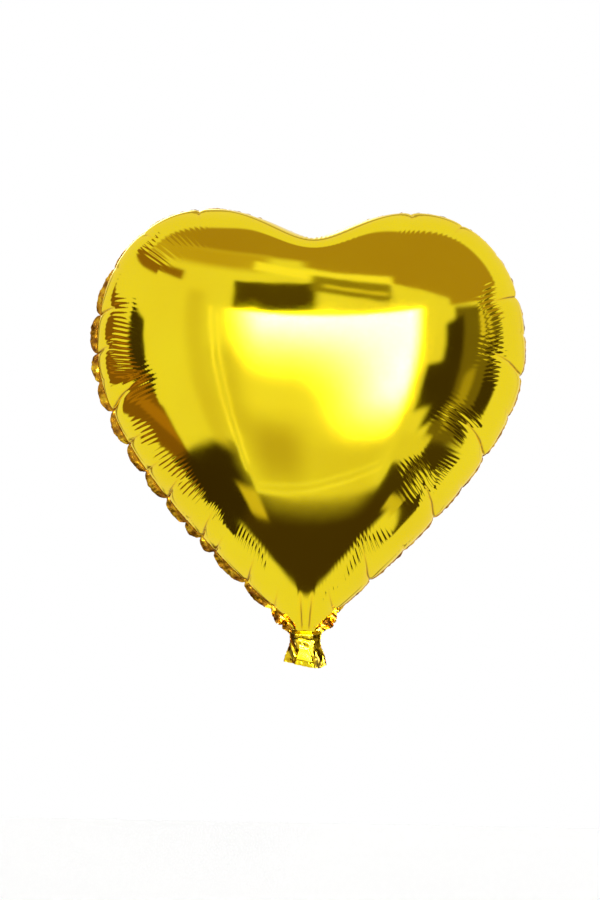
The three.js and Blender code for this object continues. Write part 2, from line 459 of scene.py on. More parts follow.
# %% Crushed foil
def crushed(across, along, size, seed):
    """Heights from 0 to 1 of a net of flat triangles of the given size, at each place."""
    chance = np.random.default_rng(seed)
    net = chance.random((64, 64))
    bent_across = across / size + 0.45 * np.sin(along / size * 1.3 + seed) + 32
    bent_along = along / size + 0.45 * np.sin(across / size * 1.7 + 2 * seed) + 32
    i, j = np.floor(bent_across).astype(int), np.floor(bent_along).astype(int)
    f, g = bent_across - i, bent_along - j
    i, j = i % 63, j % 63
    near, right, far, corner = net[i, j], net[i + 1, j], net[i, j + 1], net[i + 1, j + 1]
    first = near + f * (right - near) + g * (far - near)
    second = corner + (1 - f) * (far - corner) + (1 - g) * (right - corner)
    return np.where(f + g < 1, first, second)


VALLEY_DEPTH = 0.0010
VALLEY_WIDTH = 0.0018
VALLEY_ASIDE = 0.0034
VALLEY_SPREAD = 0.06
VALLEY_FORK = 0.012
VALLEY_SHADE = 0.9


def beside_valley(points):
    """Each point's distance to the nearer valley, and how much of the valley is left there."""
    across, up = np.abs(points[:, 0]), points[:, 1]
    aside = np.abs(across - VALLEY_ASIDE - VALLEY_SPREAD * np.maximum(0, up - VALLEY_FORK))
    return aside, smooth((up - 0.004) / 0.008) * (1 - smooth((up - 0.022) / 0.026))


def neck_valleys(points, heights):
    aside, fade = beside_valley(points)
    return -VALLEY_DEPTH * fade * np.exp(-aside / VALLEY_WIDTH) * (heights > 1e-5)


# painted shade: a dark line painted into the colour along each valley
def neck_shade(points):
    aside, fade = beside_valley(points)
    return VALLEY_SHADE * fade * np.exp(-((aside / SHADE_WIDTH) ** 2))


# %% [markdown]
# ## Making a panel
# The film moves along its own surface normal, so at the seam, where it stands upright, a crease
# draws the outline in and gives the edge its scallops, and further in the same crease is a groove.
# The rear panel has the same creases swapped left for right, so it looks from behind as the front
# does from in front. The fin follows the front's.

# %% Panel shape
RIM_GAP = 0.00015


def surface_normals(points, faces):
    sides = np.cross(points[faces[:, 1]] - points[faces[:, 0]], points[faces[:, 2]] - points[faces[:, 0]])
    out = np.zeros_like(points)
    for corner in range(3):
        np.add.at(out, faces[:, corner], sides)
    return out / np.maximum(np.linalg.norm(out, axis=1), 1e-12)[:, None]


tangent = np.roll(outline, -1, 0) - np.roll(outline, 1, 0)
rim_out = np.stack((tangent[:, 1], -tangent[:, 0]), 1)
rim_out /= np.linalg.norm(rim_out, axis=1)[:, None]
rim_out = np.stack((rim_out[:, 0], np.zeros(STATIONS), rim_out[:, 1]), 1)
neck_hold = smooth((plan[outer_ids][:, :, 1] - FOOT - 0.002) / 0.016)
rim_depth = crease_depths(FRONT_CREASES)[0] * neck_hold[0]


def panel_points(side, creases, seed):
    base = np.stack((plan[:, 0], side * (RIM_GAP + dome), plan[:, 1]), 1)
    normals = surface_normals(base, triangles)
    if (normals[patch_ids.ravel(), 1] * side).mean() < 0:
        normals = -normals
    normals[outer_ids[0]] = rim_out
    depth = (crease_depths(creases) + gather_depths(seed)) * neck_hold
    share = smooth(inwards / 0.012)
    depth = depth * share + rim_depth[None, :] * (1 - share)
    moved = base.copy()
    moved[outer_ids] += normals[outer_ids] * depth[:, :, None]
    low = np.flatnonzero(plan[:, 1] < 0.085)
    folds = neck_valleys(plan[low], dome[low])
    near = np.flatnonzero(plan[low][:, 1] < 0.034)
    rough = crushed(base[low[near], 0], base[low[near], 2], 0.0070, seed)
    outer_side = smooth((np.abs(plan[low[near]][:, 0]) - 0.004) / 0.006)
    closeness = (1 - smooth((plan[low[near]][:, 1] - 0.006) / 0.024)) * (0.35 + 0.65 * outer_side)
    folds[near] += (rough - 0.5) * 0.0034 * closeness * smooth(dome[low[near]] / 0.0015)
    moved[low] += normals[low] * folds[:, None]
    return moved


# painted shade of the neck valleys and the creases, kept on each point for the foil's colour
def panel_shade(creases):
    out = neck_shade(plan)
    out[outer_ids] = np.maximum(out[outer_ids], crease_shade(creases) * neck_hold)
    return out


def mesh_object(name, points, faces, material, shade=None):
    mesh = bpy.data.meshes.new(name)
    mesh.from_pydata(points.tolist(), [], faces)
    mesh.update()
    mesh.shade_smooth()
    if shade is not None:
        mesh.attributes.new("painted_fold_shade", "FLOAT", "POINT").data.foreach_set("value", np.ravel(shade))
    mesh.materials.append(material)
    made = bpy.data.objects.new(name, mesh)
    bpy.context.scene.collection.objects.link(made)
    return made


def panel_faces(side):
    faces = quads.tolist() + bridge.tolist()
    return faces if side < 0 else [face[::-1] for face in faces]


# %% [markdown]
# ## Gold foil
# The film is aluminium under a clear yellow lacquer, so it is a metal with a strong yellow tint
# and a thin clear coat. The coat's own reflection has no tint, which is why the brightest spots look
# white and not yellow. The film is a good mirror: only a faint grain and a few soft wrinkles
# break it up, so the bump is far weaker than on cloth or paint.

# %% Node helpers
def add_node(tree, kind, **settings):
    made = tree.nodes.new(kind)
    for name, value in settings.items():
        setattr(made, name, value)
    return made


def principled(name, **sockets):
    material = bpy.data.materials.new(name)
    material.use_nodes = True
    shader = material.node_tree.nodes["Principled BSDF"]
    for socket, value in sockets.items():
        shader.inputs[socket.replace("_", " ")].default_value = value
    return material, material.node_tree, shader


def noise_on_object(tree, scale, detail=3.0, roughness=0.5):
    coords = add_node(tree, "ShaderNodeTexCoord")
    made = add_node(tree, "ShaderNodeTexNoise")
    made.inputs["Scale"].default_value = scale
    made.inputs["Detail"].default_value = detail
    made.inputs["Roughness"].default_value = roughness
    tree.links.new(coords.outputs["Object"], made.inputs["Vector"])
    return made


def color_ramp(tree, source, stops):
    ramp = add_node(tree, "ShaderNodeValToRGB")
    tree.links.new(source, ramp.inputs[0])
    elements = ramp.color_ramp.elements
    elements[0].position, elements[0].color = stops[0]
    elements[1].position, elements[1].color = stops[-1]
    for position, color in stops[1:-1]:
        elements.new(position).color = color
    return ramp.outputs[0]


def bump_from(tree, shader, source, strength, distance, below=None):
    bump = add_node(tree, "ShaderNodeBump")
    bump.inputs["Strength"].default_value = strength
    bump.inputs["Distance"].default_value = distance
    tree.links.new(source, bump.inputs["Height"])
    if below:
        tree.links.new(below.outputs[0], bump.inputs["Normal"])
    tree.links.new(bump.outputs[0], shader.inputs["Normal"])
    return bump


# %% Gold foil material
LACQUER = (0.89, 0.71, 0.005, 1)
LACQUER_THICK = (0.86, 0.655, 0.003, 1)
# painted shade colours for folds: orange for light shade, brown for deep shade
PAINTED_FOLD_ORANGE = (0.80, 0.42, 0.010, 1)
PAINTED_FOLD_BROWN = (0.06, 0.025, 0.002, 1)
EDGE_TINT = (1.0, 0.86, 0.34, 1)
gold_foil, tree, shader = principled("gold_foil", Metallic=1.0, Specular_Tint=EDGE_TINT, Coat_Weight=0.3,
                                     Coat_Roughness=0.03, Coat_IOR=1.5)
cloudy = noise_on_object(tree, 9.0, 4.0)
# painted shade: the fold attribute mixes the lacquer colour towards orange and brown in folds
painted_fold_shade = add_node(tree, "ShaderNodeAttribute", attribute_name="painted_fold_shade")
in_folds = add_node(tree, "ShaderNodeMix", data_type="RGBA")
tree.links.new(painted_fold_shade.outputs["Fac"], in_folds.inputs["Factor"])
tree.links.new(color_ramp(tree, cloudy.outputs[0], [(0.35, LACQUER), (0.68, LACQUER_THICK)]),
               in_folds.inputs["A"])
tree.links.new(color_ramp(tree, painted_fold_shade.outputs["Fac"], [(0.25, PAINTED_FOLD_ORANGE), (0.90, PAINTED_FOLD_BROWN)]),
               in_folds.inputs["B"])
tree.links.new(in_folds.outputs["Result"], shader.inputs["Base Color"])
tree.links.new(color_ramp(tree, noise_on_object(tree, 34.0, 5.0).outputs[0],
                          [(0.3, (0.045, 0.045, 0.045, 1)), (0.75, (0.095, 0.095, 0.095, 1))]),
               shader.inputs["Roughness"])
grain = bump_from(tree, shader, noise_on_object(tree, 1400.0, 2.0).outputs[0], 0.05, 0.0001)
bump_from(tree, shader, noise_on_object(tree, 26.0, 2.0).outputs[0], 0.10, 0.0012, below=grain)

# %% [markdown]
# ## The welded edge
# The weld is pressed with a ribbed bar, so it carries fine ribs across its width. It is
# duller than the panels because the heat has clouded the film. Its warm brown and orange patches
# are painted reflections of its creases, laid at random by a noise.

# %% Weld material
welded_foil, tree, shader = principled("welded_foil", Metallic=1.0, Specular_Tint=EDGE_TINT,
                                       Coat_Weight=0.2, Coat_Roughness=0.08)
seam_map = add_node(tree, "ShaderNodeUVMap", uv_map="seam_map")
ribs = add_node(tree, "ShaderNodeTexWave", wave_type="BANDS", bands_direction="X")
ribs.inputs["Scale"].default_value = 250.0
ribs.inputs["Distortion"].default_value = 0.4
tree.links.new(seam_map.outputs[0], ribs.inputs["Vector"])
# painted reflection: brown and orange patches in the weld's colour, laid at random by a noise
tree.links.new(color_ramp(tree, noise_on_object(tree, 110.0, 4.0).outputs[0],
                          [(0.36, (0.20, 0.065, 0.004, 1)), (0.52, (0.58, 0.27, 0.008, 1)),
                           (0.70, (0.86, 0.58, 0.02, 1))]),
               shader.inputs["Base Color"])
tree.links.new(color_ramp(tree, noise_on_object(tree, 60.0).outputs[0],
                          [(0.3, (0.20, 0.20, 0.20, 1)), (0.7, (0.36, 0.36, 0.36, 1))]),
               shader.inputs["Roughness"])
rib_bump = bump_from(tree, shader, ribs.outputs["Fac"], 0.35, 0.0002)
bump_from(tree, shader, noise_on_object(tree, 330.0, 3.0).outputs[0], 0.5, 0.0006, below=rib_bump)

# %% Panels
front_foil = mesh_object("front_foil", panel_points(-1, FRONT_CREASES, 21), panel_faces(-1), gold_foil,
                         panel_shade(FRONT_CREASES))
rear_foil = mesh_object("rear_foil", panel_points(1, REAR_CREASES, 22), panel_faces(1), gold_foil,
                        panel_shade(REAR_CREASES))
for panel in (front_foil, rear_foil):
    middle_face = panel.data.polygons[len(quads) - PATCH_SIDE * PATCH_SIDE // 2]
    area = sum(face.area for face in panel.data.polygons)
    print(panel.name, "middle faces", tuple(round(c, 2) for c in middle_face.normal),
          "film area", round(area, 4))

# %% [markdown]
# ## The seam fin
# Outside the weld line a narrow fin of doubled film stands up round the whole edge. It was cut on
# the flat heart's longer outline, so on the filled balloon it ruffles: it stands out in half-moons
# and is pinched flat at each crease. It follows a path and repeats, so Geometry Nodes make it:
# a grid with one column for each point of the path, whose rows step outwards by the fin's
# width and lean back by its fold, with the crinkle from a noise texture.

# %% Fin tree
def group_input(tree, name, kind, value=None):
    socket = tree.interface.new_socket(name, in_out="INPUT", socket_type=kind)
    if value is not None:
        socket.default_value = value
    return socket


def field_math(tree, operation, *values):
    made = add_node(tree, "ShaderNodeMath", operation=operation)
    for slot, value in zip(made.inputs, values):
        if isinstance(value, (int, float)):
            slot.default_value = value
        else:
            tree.links.new(value, slot)
    return made.outputs[0]


def vector_math(tree, operation, *values):
    made = add_node(tree, "ShaderNodeVectorMath", operation=operation)
    for slot, value in zip(made.inputs, values):
        if isinstance(value, tuple):
            slot.default_value = value
        else:
            tree.links.new(value, slot)
    return made


def scaled(tree, vector, factor):
    made = add_node(tree, "ShaderNodeVectorMath", operation="SCALE")
    if isinstance(vector, tuple):
        made.inputs[0].default_value = vector
    else:
        tree.links.new(vector, made.inputs[0])
    tree.links.new(factor, made.inputs["Scale"])
    return made.outputs[0]


def path_value(tree, path, kind, column, name=None):
    """A value of the path's point that belongs to this column of the grid."""
    if name:
        source = add_node(tree, "GeometryNodeInputNamedAttribute", data_type=kind)
        source.inputs["Name"].default_value = name
        field = source.outputs[0]
    else:
        field = add_node(tree, "GeometryNodeInputPosition").outputs[0]
    sample = add_node(tree, "GeometryNodeSampleIndex", data_type=kind, domain="POINT")
    tree.links.new(path, sample.inputs["Geometry"])
    tree.links.new(field, sample.inputs["Value"])
    tree.links.new(column, sample.inputs["Index"])
    return sample.outputs[0]


def fin_tree():
    tree = bpy.data.node_groups.new("seam_fin", "GeometryNodeTree")
    group_input(tree, "Path", "NodeSocketGeometry")
    group_input(tree, "Columns", "NodeSocketInt", 100)
    group_input(tree, "Rows", "NodeSocketInt", 7)
    group_input(tree, "Crinkle", "NodeSocketFloat", 0.0009)
    group_input(tree, "Crinkle Scale", "NodeSocketFloat", 190.0)
    group_input(tree, "Material", "NodeSocketMaterial")
    tree.interface.new_socket("Fin", in_out="OUTPUT", socket_type="NodeSocketGeometry")
    given = add_node(tree, "NodeGroupInput").outputs
    grid = add_node(tree, "GeometryNodeMeshGrid")
    tree.links.new(given["Columns"], grid.inputs["Vertices X"])
    tree.links.new(given["Rows"], grid.inputs["Vertices Y"])
    index = add_node(tree, "GeometryNodeInputIndex").outputs[0]
    column = field_math(tree, "FLOOR", field_math(tree, "DIVIDE", index, given["Rows"]))
    row = field_math(tree, "MODULO", index, given["Rows"])
    share = field_math(tree, "DIVIDE", row, field_math(tree, "SUBTRACT", given["Rows"], 1))
    spot = path_value(tree, given["Path"], "FLOAT_VECTOR", column)
    outward = path_value(tree, given["Path"], "FLOAT_VECTOR", column, "outward")
    width = path_value(tree, given["Path"], "FLOAT", column, "fin_width")
    fold = path_value(tree, given["Path"], "FLOAT", column, "fold_back")
    run = path_value(tree, given["Path"], "FLOAT", column, "run")
    reach = field_math(tree, "MULTIPLY", width, share)
    lean = field_math(tree, "MULTIPLY", fold, field_math(tree, "POWER", share, 0.5))
    out_by = field_math(tree, "MULTIPLY", reach, field_math(tree, "COSINE", lean))
    back_by = field_math(tree, "MULTIPLY", reach, field_math(tree, "SINE", lean))
    place = vector_math(tree, "ADD", spot, scaled(tree, outward, out_by)).outputs[0]
    place = vector_math(tree, "ADD", place, scaled(tree, (0, 1, 0), back_by)).outputs[0]
    crinkle = add_node(tree, "ShaderNodeTexNoise")
    tree.links.new(place, crinkle.inputs["Vector"])
    tree.links.new(given["Crinkle Scale"], crinkle.inputs["Scale"])
    crinkle.inputs["Detail"].default_value = 2.0
    push = vector_math(tree, "SUBTRACT", crinkle.outputs["Color"], (0.5, 0.5, 0.5)).outputs[0]
    amount = field_math(tree, "MULTIPLY", field_math(tree, "MULTIPLY", given["Crinkle"], 2.0),
                        field_math(tree, "MINIMUM", field_math(tree, "MULTIPLY", share, 2.5), 1.0))
    place = vector_math(tree, "ADD", place, scaled(tree, push, amount)).outputs[0]
    moved = add_node(tree, "GeometryNodeSetPosition")
    tree.links.new(grid.outputs["Mesh"], moved.inputs["Geometry"])
    tree.links.new(place, moved.inputs["Position"])
    both = add_node(tree, "ShaderNodeCombineXYZ")
    tree.links.new(run, both.inputs["X"])
    tree.links.new(reach, both.inputs["Y"])
    stored = add_node(tree, "GeometryNodeStoreNamedAttribute", data_type="FLOAT2", domain="CORNER")
    stored.inputs["Name"].default_value = "seam_map"
    tree.links.new(moved.outputs[0], stored.inputs["Geometry"])
    tree.links.new(both.outputs[0], stored.inputs["Value"])
    smoothed = add_node(tree, "GeometryNodeSetShadeSmooth")
    tree.links.new(stored.outputs[0], smoothed.inputs["Geometry"])
    finish = add_node(tree, "GeometryNodeSetMaterial")
    tree.links.new(smoothed.outputs[0], finish.inputs["Geometry"])
    tree.links.new(given["Material"], finish.inputs["Material"])
    real = add_node(tree, "GeometryNodeRealizeInstances")
    tree.links.new(finish.outputs[0], real.inputs[0])
    out = add_node(tree, "NodeGroupOutput")
    tree.links.new(real.outputs[0], out.inputs["Fin"])
    return tree


FIN_TREE = fin_tree()


def build_fin(name, path, outward, width, fold, run, rows, crinkle, material):
    """Runs the fin tree on a path of points and keeps the result as a plain mesh."""
    mesh = bpy.data.meshes.new(name + "_path")
    mesh.from_pydata(path.tolist(), [(i, i + 1) for i in range(len(path) - 1)], [])
    for label, kind, values in (("outward", "FLOAT_VECTOR", outward), ("fin_width", "FLOAT", width),
                                ("fold_back", "FLOAT", fold), ("run", "FLOAT", run)):
        layer = mesh.attributes.new(label, kind, "POINT")
        layer.data.foreach_set("vector" if kind == "FLOAT_VECTOR" else "value", np.ravel(values))
    made = bpy.data.objects.new(name, mesh)
    bpy.context.scene.collection.objects.link(made)
    maker = made.modifiers.new("fin", "NODES")
    maker.node_group = FIN_TREE
    settings = {"Columns": len(path), "Rows": rows, "Crinkle": crinkle, "Material": material}
    for socket in FIN_TREE.interface.items_tree:
        if socket.item_type == "SOCKET" and socket.name in settings:
            maker[socket.identifier] = settings[socket.name]
    bpy.context.view_layer.update()
    finished = bpy.data.meshes.new_from_object(made.evaluated_get(bpy.context.evaluated_depsgraph_get()))
    finished.name = name
    made.modifiers.clear()
    made.data = finished
    print(name, len(finished.polygons), "faces")
    return made


# %% Seam fin
FIN_TUCK = 0.0012
seam_columns = np.flatnonzero(~np.isnan(along_seam))
seam_columns = seam_columns[np.argsort(along_seam[seam_columns])]
seam_run = along_seam[seam_columns]
pinched_rim = np.stack((outline[:, 0], np.zeros(STATIONS), outline[:, 1]), 1) + rim_out * rim_depth[:, None]
pinched_rim = pinched_rim[seam_columns]
seam_out = rim_out[seam_columns]


def half_moons(run, seed):
    """0 where the fin is pinched and 1 in the middle of each half-moon."""
    chance = random.Random(seed)
    pinches = [0.0]
    for where, depth, *_ in FRONT_CREASES:
        gap = where - pinches[-1]
        extra = max(0, round(gap / 0.030) - 1)
        pinches += [pinches[-1] + gap * (i + 1 + chance.uniform(-0.15, 0.15)) / (extra + 1)
                    for i in range(extra)]
        pinches.append(where)
    while seam_length - pinches[-1] > 0.040:
        pinches.append(pinches[-1] + chance.uniform(0.024, 0.034))
    pinches.append(float(seam_length))
    middle = np.zeros_like(run)
    for start, end in zip(pinches, pinches[1:]):
        inside = (run >= start) & (run <= end)
        middle[inside] = np.sin(math.pi * (run[inside] - start) / (end - start)) ** 0.55
    print("fin has", len(pinches) - 1, "half-moons")
    return middle


moons = half_moons(seam_run, 3)
left_side = smooth((seam_run / seam_length - 0.52) / 0.04)
top_share = np.exp(-((seam_run / seam_length - 0.49) / 0.20) ** 8)
fin_width = SEAM_WIDTH * (0.30 + 0.70 * moons) * (0.80 + 0.35 * left_side) + FIN_TUCK
fin_fold = np.radians(62 - 44 * left_side) * (1 - top_share) + np.radians(84) * top_share
fin_fold = fin_fold * (0.75 + 0.25 * moons)
# beside the neck the fin is wide, flat and crushed
neck_run = np.minimum(seam_run, seam_length - seam_run)
by_neck = 1 - smooth((neck_run - 0.020) / 0.022)
crush = crushed(seam_run, 0 * seam_run, 0.0042, 7) - 0.5
fin_width = fin_width * (1 - by_neck) + by_neck * SEAM_WIDTH * (
    0.90 + 0.85 * bump_between(neck_run, 0.000, 0.034) + 0.5 * crush)
fin_fold = fin_fold * (1 - by_neck) + by_neck * 1.7 * crush
seam_fin = build_fin("seam_fin", pinched_rim - FIN_TUCK * seam_out, seam_out, fin_width, fin_fold,
                     seam_run, 9, 0.0015, welded_foil)

# %% [markdown]
# ## The tail
# Below the heart the sheets run on as a short tail, the filling spout. Helium has passed through
# it, so it is limp and crushed, flaring a little to its mouth, with a flat face between its crumpled
# sides. The front and rear foils are separate sheets joined only along their sides, and the tail
# folds at the neck. Its top is tucked in under the heart, and its mouth is cut at a slant. Each foil
# is a grid with outward crushing only, so it never cuts the valve films that run down inside it.

# %% Tail foils
TAIL_TOP = 0.0072
tail_low, tail_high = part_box("tail_front_flap")
MOUTH_HALF = tail_high.x
TAIL_FOOT = tail_low.z
NECK_OUTER_HALF = NECK_HALF + 0.75 * SEAM_WIDTH
MOUTH_SLANT = 0.0055
TAIL_COLUMNS = 121
TAIL_ROWS = 109
TAIL_WAIST = 0.0014
MOUTH_CORNER = 0.0025
TAIL_SWELL = 0.0054
TIE_LEVEL = -0.0022
TIE_DEPTH = 0.0012
TIE_WIDTH = 0.0013
FACE_HALF = 0.0050
FACE_FLARE = 0.36
COARSE_SIZE = 0.0066
COARSE_HEIGHT = 0.0019
FINE_SIZE = 0.0031
FINE_HEIGHT = 0.0004
HEM_RUFFLE = 0.0008


def tail_half_width(z):
    t = np.clip((z - TAIL_TOP) / (TAIL_FOOT - TAIL_TOP), 0, 1)
    return NECK_OUTER_HALF - TAIL_WAIST * np.sin(math.pi * np.clip(t * 1.5, 0, 1)) + (
        MOUTH_HALF - NECK_OUTER_HALF) * smooth((t - 0.25) / 0.75)


def mouth_level(u):
    """The mouth is cut at a slant and its lower corner is rounded."""
    return TAIL_FOOT + MOUTH_SLANT * np.clip((0.5 - u) / 1.5, 0, 1) + MOUTH_CORNER * smooth((u - 0.7) / 0.3)


def tail_points(side, seed):
    u = np.linspace(-1, 1, TAIL_COLUMNS)[None, :]
    v = np.linspace(0, 1, TAIL_ROWS)[:, None]
    z = TAIL_TOP + v * (mouth_level(u) - TAIL_TOP)
    x = u * tail_half_width(z)
    open_share = 1 - np.abs(u) ** 2.5
    tucked = smooth((TAIL_TOP - z) / 0.0050)
    swell = TAIL_SWELL * (1 - smooth((v - 0.02) / 1.15)) * open_share
    from_tie = np.abs(z - TIE_LEVEL + 0.0010 * np.sin(5 * u))
    neck_crease = -TIE_DEPTH * np.exp(-from_tie / TIE_WIDTH) * open_share
    face_width = FACE_HALF + FACE_FLARE * np.maximum(0, -0.010 - z)
    face = smooth((1 - np.abs(x + 0.0008) / face_width) / 0.22) * smooth((v - 0.42) / 0.12)
    hem = smooth((v - 0.84) / 0.03)
    coarse = crushed(x * 1.35, z * 0.8, COARSE_SIZE, seed)
    fine = crushed(x * 1.5, z, FINE_SIZE, seed + 5)
    relief = (COARSE_HEIGHT * coarse + FINE_HEIGHT * fine) * open_share**0.5
    relief = relief * (1 - 0.92 * face * (1 - hem))
    flat_face = (0.0012 + 0.0042 * smooth((v - 0.36) / 0.60)) * face * (1 - 0.45 * hem)
    out = 0.0008 + swell + neck_crease + relief + flat_face
    out = np.maximum(out, 0.0007 * open_share + 0.0002) * (0.25 + 0.75 * tucked)
    z = z + HEM_RUFFLE * (fine - 0.5) * smooth((v - 0.9) / 0.1)
    # painted shade: outside its flat face the tail is painted orange, darker towards brown on the crumpled
    # sides and along the fold at the neck
    sides = smooth((np.abs(u) - 0.28) / 0.35) * smooth((coarse - 0.30) / 0.35)
    shade = (0.36 + 0.55 * sides) * (1 - face)
    shade = np.maximum(shade, 0.55 * np.exp(-np.abs(z - TIE_LEVEL) / 0.0015) * smooth(fine / 0.7))
    return np.stack((x, side * out, z), -1).reshape(-1, 3), shade


def grid_faces(columns, rows, side):
    faces = []
    for row in range(rows - 1):
        for column in range(columns - 1):
            a = row * columns + column
            face = (a, a + columns, a + columns + 1, a + 1)
            faces.append(face if side < 0 else face[::-1])
    return faces


tail_foils = []
for side, seed, name in ((-1, 2, "tail_front_foil"), (1, 4, "tail_rear_foil")):
    points, shade = tail_points(side, seed)
    faces = grid_faces(TAIL_COLUMNS, TAIL_ROWS, side)
    tail_foils.append(mesh_object(name, points, faces, gold_foil, shade))
tail_front_foil, tail_rear_foil = tail_foils
print("tail half width", round(float(tail_half_width(TAIL_TOP)), 4), "to", round(MOUTH_HALF, 4))

# %% Tail welds
TAIL_WELD_WIDTH = 0.0042
TAIL_WELD_LAP = 0.0004
tail_welds = []
for side, name in ((-1, "tail_left_weld"), (1, "tail_right_weld")):
    tail_z = np.linspace(TAIL_TOP, mouth_level(side), 60)
    half = tail_half_width(tail_z)
    path = np.stack((side * (half - TAIL_WELD_WIDTH), 0 * half, tail_z), 1)
    sideways = np.stack((side + 0 * half, 0 * half, 0 * half), 1)
    tail_welds.append(build_fin(name, path, sideways, TAIL_WELD_WIDTH + 0 * half + TAIL_WELD_LAP,
                                0.25 * np.sin(tail_z * 900), -tail_z, 5, 0.0006, welded_foil))

# %% [markdown]
# ## The valve films
# Two narrow strips of clear film lie flat together inside the tail and reach up into the heart.
# Gas pressure squeezes them shut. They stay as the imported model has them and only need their
# material: clear plastic film with a faint haze and the fine ripples of a strip that is held only at
# its edges.

# %% Valve film material
valve_film, tree, shader = principled("valve_film", Roughness=0.12, Alpha=0.55, IOR=1.5)
tree.links.new(color_ramp(tree, noise_on_object(tree, 60.0).outputs[0],
                          [(0.3, (0.80, 0.83, 0.84, 1)), (0.7, (0.93, 0.94, 0.95, 1))]),
               shader.inputs["Base Color"])
bump_from(tree, shader, noise_on_object(tree, 420.0, 2.0).outputs[0], 0.25, 0.0004)
VALVE_NODES = ("valve_front_film", "valve_rear_film", "tail_valve_front_film", "tail_valve_rear_film")
for name in VALVE_NODES:
    film = bpy.data.objects[name]
    film.data.materials.clear()
    film.data.materials.append(valve_film)

# %% [markdown]
# ## The studio
# A mirror-like thing is lit by what it reflects. Here that is a plain pale room: a tall window
# in front, brighter to its upper right, a lighter wall to its left, a ceiling in
# shade, a dark floor, and dark furniture at the sides. The sun's glow in the window grows from its
# left and foot to its top and right edges by a formula. Photographers use white cards and black
# flags for the same purpose. All of it is drawn in the world shader by direction, one card after
# another, so nothing stands in the way when the camera moves round to the back.

# %% World helpers
world = bpy.data.worlds.new("studio")
bpy.context.scene.world = world
world.use_nodes = True
sky = world.node_tree
sky.nodes.clear()
direction = add_node(sky, "ShaderNodeTexCoord").outputs["Generated"]
parts = add_node(sky, "ShaderNodeSeparateXYZ")
sky.links.new(direction, parts.inputs[0])
to_degrees = 180 / math.pi
azimuth = field_math(sky, "MULTIPLY", field_math(
    sky, "ARCTAN2", parts.outputs["X"], field_math(sky, "MULTIPLY", parts.outputs["Y"], -1)), to_degrees)
behind_azimuth = field_math(sky, "MULTIPLY", field_math(
    sky, "ARCTAN2", parts.outputs["X"], parts.outputs["Y"]), to_degrees)
elevation = field_math(sky, "MULTIPLY", field_math(sky, "ARCSINE", parts.outputs["Z"]), to_degrees)


def card_mask(middle, half, softness, coordinate):
    """1 within half of the middle, falling smoothly to 0 over the softness."""
    away = field_math(sky, "ABSOLUTE", field_math(sky, "SUBTRACT", coordinate, middle))
    edge = add_node(sky, "ShaderNodeMapRange", interpolation_type="SMOOTHSTEP")
    sky.links.new(away, edge.inputs["Value"])
    edge.inputs["From Min"].default_value = half - softness / 2
    edge.inputs["From Max"].default_value = half + softness / 2
    edge.inputs["To Min"].default_value = 1
    edge.inputs["To Max"].default_value = 0
    return edge.outputs[0]


def ramp(coordinate, start, end):
    """0 at the start, rising smoothly to 1 at the end."""
    edge = add_node(sky, "ShaderNodeMapRange", interpolation_type="SMOOTHSTEP")
    sky.links.new(coordinate, edge.inputs["Value"])
    edge.inputs["From Min"].default_value = start
    edge.inputs["From Max"].default_value = end
    return edge.outputs[0]


def side_mask(limit, behind):
    """1 where the direction points further to the front, or the back, than the limit."""
    sign = 1 if behind else -1
    return ramp(parts.outputs["Y"], sign * (limit - 0.04), sign * (limit + 0.04))


seen = add_node(sky, "ShaderNodeRGB")
seen.outputs[0].default_value = (0.94, 0.93, 0.90, 1)
seen = seen.outputs[0]


def lay_card(under, color, turn, lift, wide, high, soft=2.0, slant=0.0, limit=None, behind=False):
    """The studio so far with a card over it. A slant tips its level edges by so much a degree."""
    across = behind_azimuth if behind else azimuth
    height = elevation
    if slant:
        tipped = field_math(sky, "MULTIPLY", field_math(sky, "SUBTRACT", across, turn), slant)
        height = field_math(sky, "SUBTRACT", elevation, tipped)
    mask = field_math(sky, "MULTIPLY", card_mask(turn, wide, soft, across),
                      card_mask(lift, high, soft, height))
    if limit is not None:
        mask = field_math(sky, "MULTIPLY", mask, side_mask(limit, behind))
    over = add_node(sky, "ShaderNodeMix", data_type="RGBA")
    sky.links.new(mask, over.inputs["Factor"])
    sky.links.new(under, over.inputs["A"])
    over.inputs["B"].default_value = (*color, 1)
    return over.outputs["Result"]


# %% Room cards
SHADE = (0.45, 0.315, 0.20)
FLOOR_SHADE = (0.062, 0.040, 0.020)
WOOD = (0.18, 0.145, 0.09)
DARK_WOOD = (0.050, 0.034, 0.018)
WALL = (0.94, 0.93, 0.90)
seen = lay_card(seen, SHADE, 0, 78, 125, 21, soft=6, limit=0.02)
seen = lay_card(seen, SHADE, 22, 60, 24, 21, slant=-0.52)
seen = lay_card(seen, SHADE, 68, 50, 24, 26, limit=0.02)
seen = lay_card(seen, (0.60, 0.47, 0.28), -55, 52, 42, 6, soft=6, limit=0.05)
seen = lay_card(seen, (0.30, 0.16, 0.08), -76, 40, 34, 3.5, slant=-0.10)
seen = lay_card(seen, FLOOR_SHADE, 0, -62, 110, 28, soft=4, limit=0.42)
seen = lay_card(seen, FLOOR_SHADE, 0, -66, 22, 16, soft=5, limit=0.14)
seen = lay_card(seen, (0.24, 0.115, 0.055), -84, -9, 27, 20, soft=3, slant=-0.42)
seen = lay_card(seen, (0.42, 0.20, 0.09), -80, -14, 22, 4, soft=3, slant=-0.45)
seen = lay_card(seen, DARK_WOOD, -64, 3, 7, 13, soft=3, slant=-0.5)
seen = lay_card(seen, (0.040, 0.026, 0.016), -50, -36, 26, 9, soft=3, slant=0.36)
seen = lay_card(seen, (0.72, 0.62, 0.36), -32, -38, 5, 4, soft=3)
seen = lay_card(seen, WOOD, 64, -3, 18, 25, soft=3, slant=-0.05)
seen = lay_card(seen, (0.42, 0.36, 0.20), 57, -12, 3, 9, soft=4, slant=0.4)
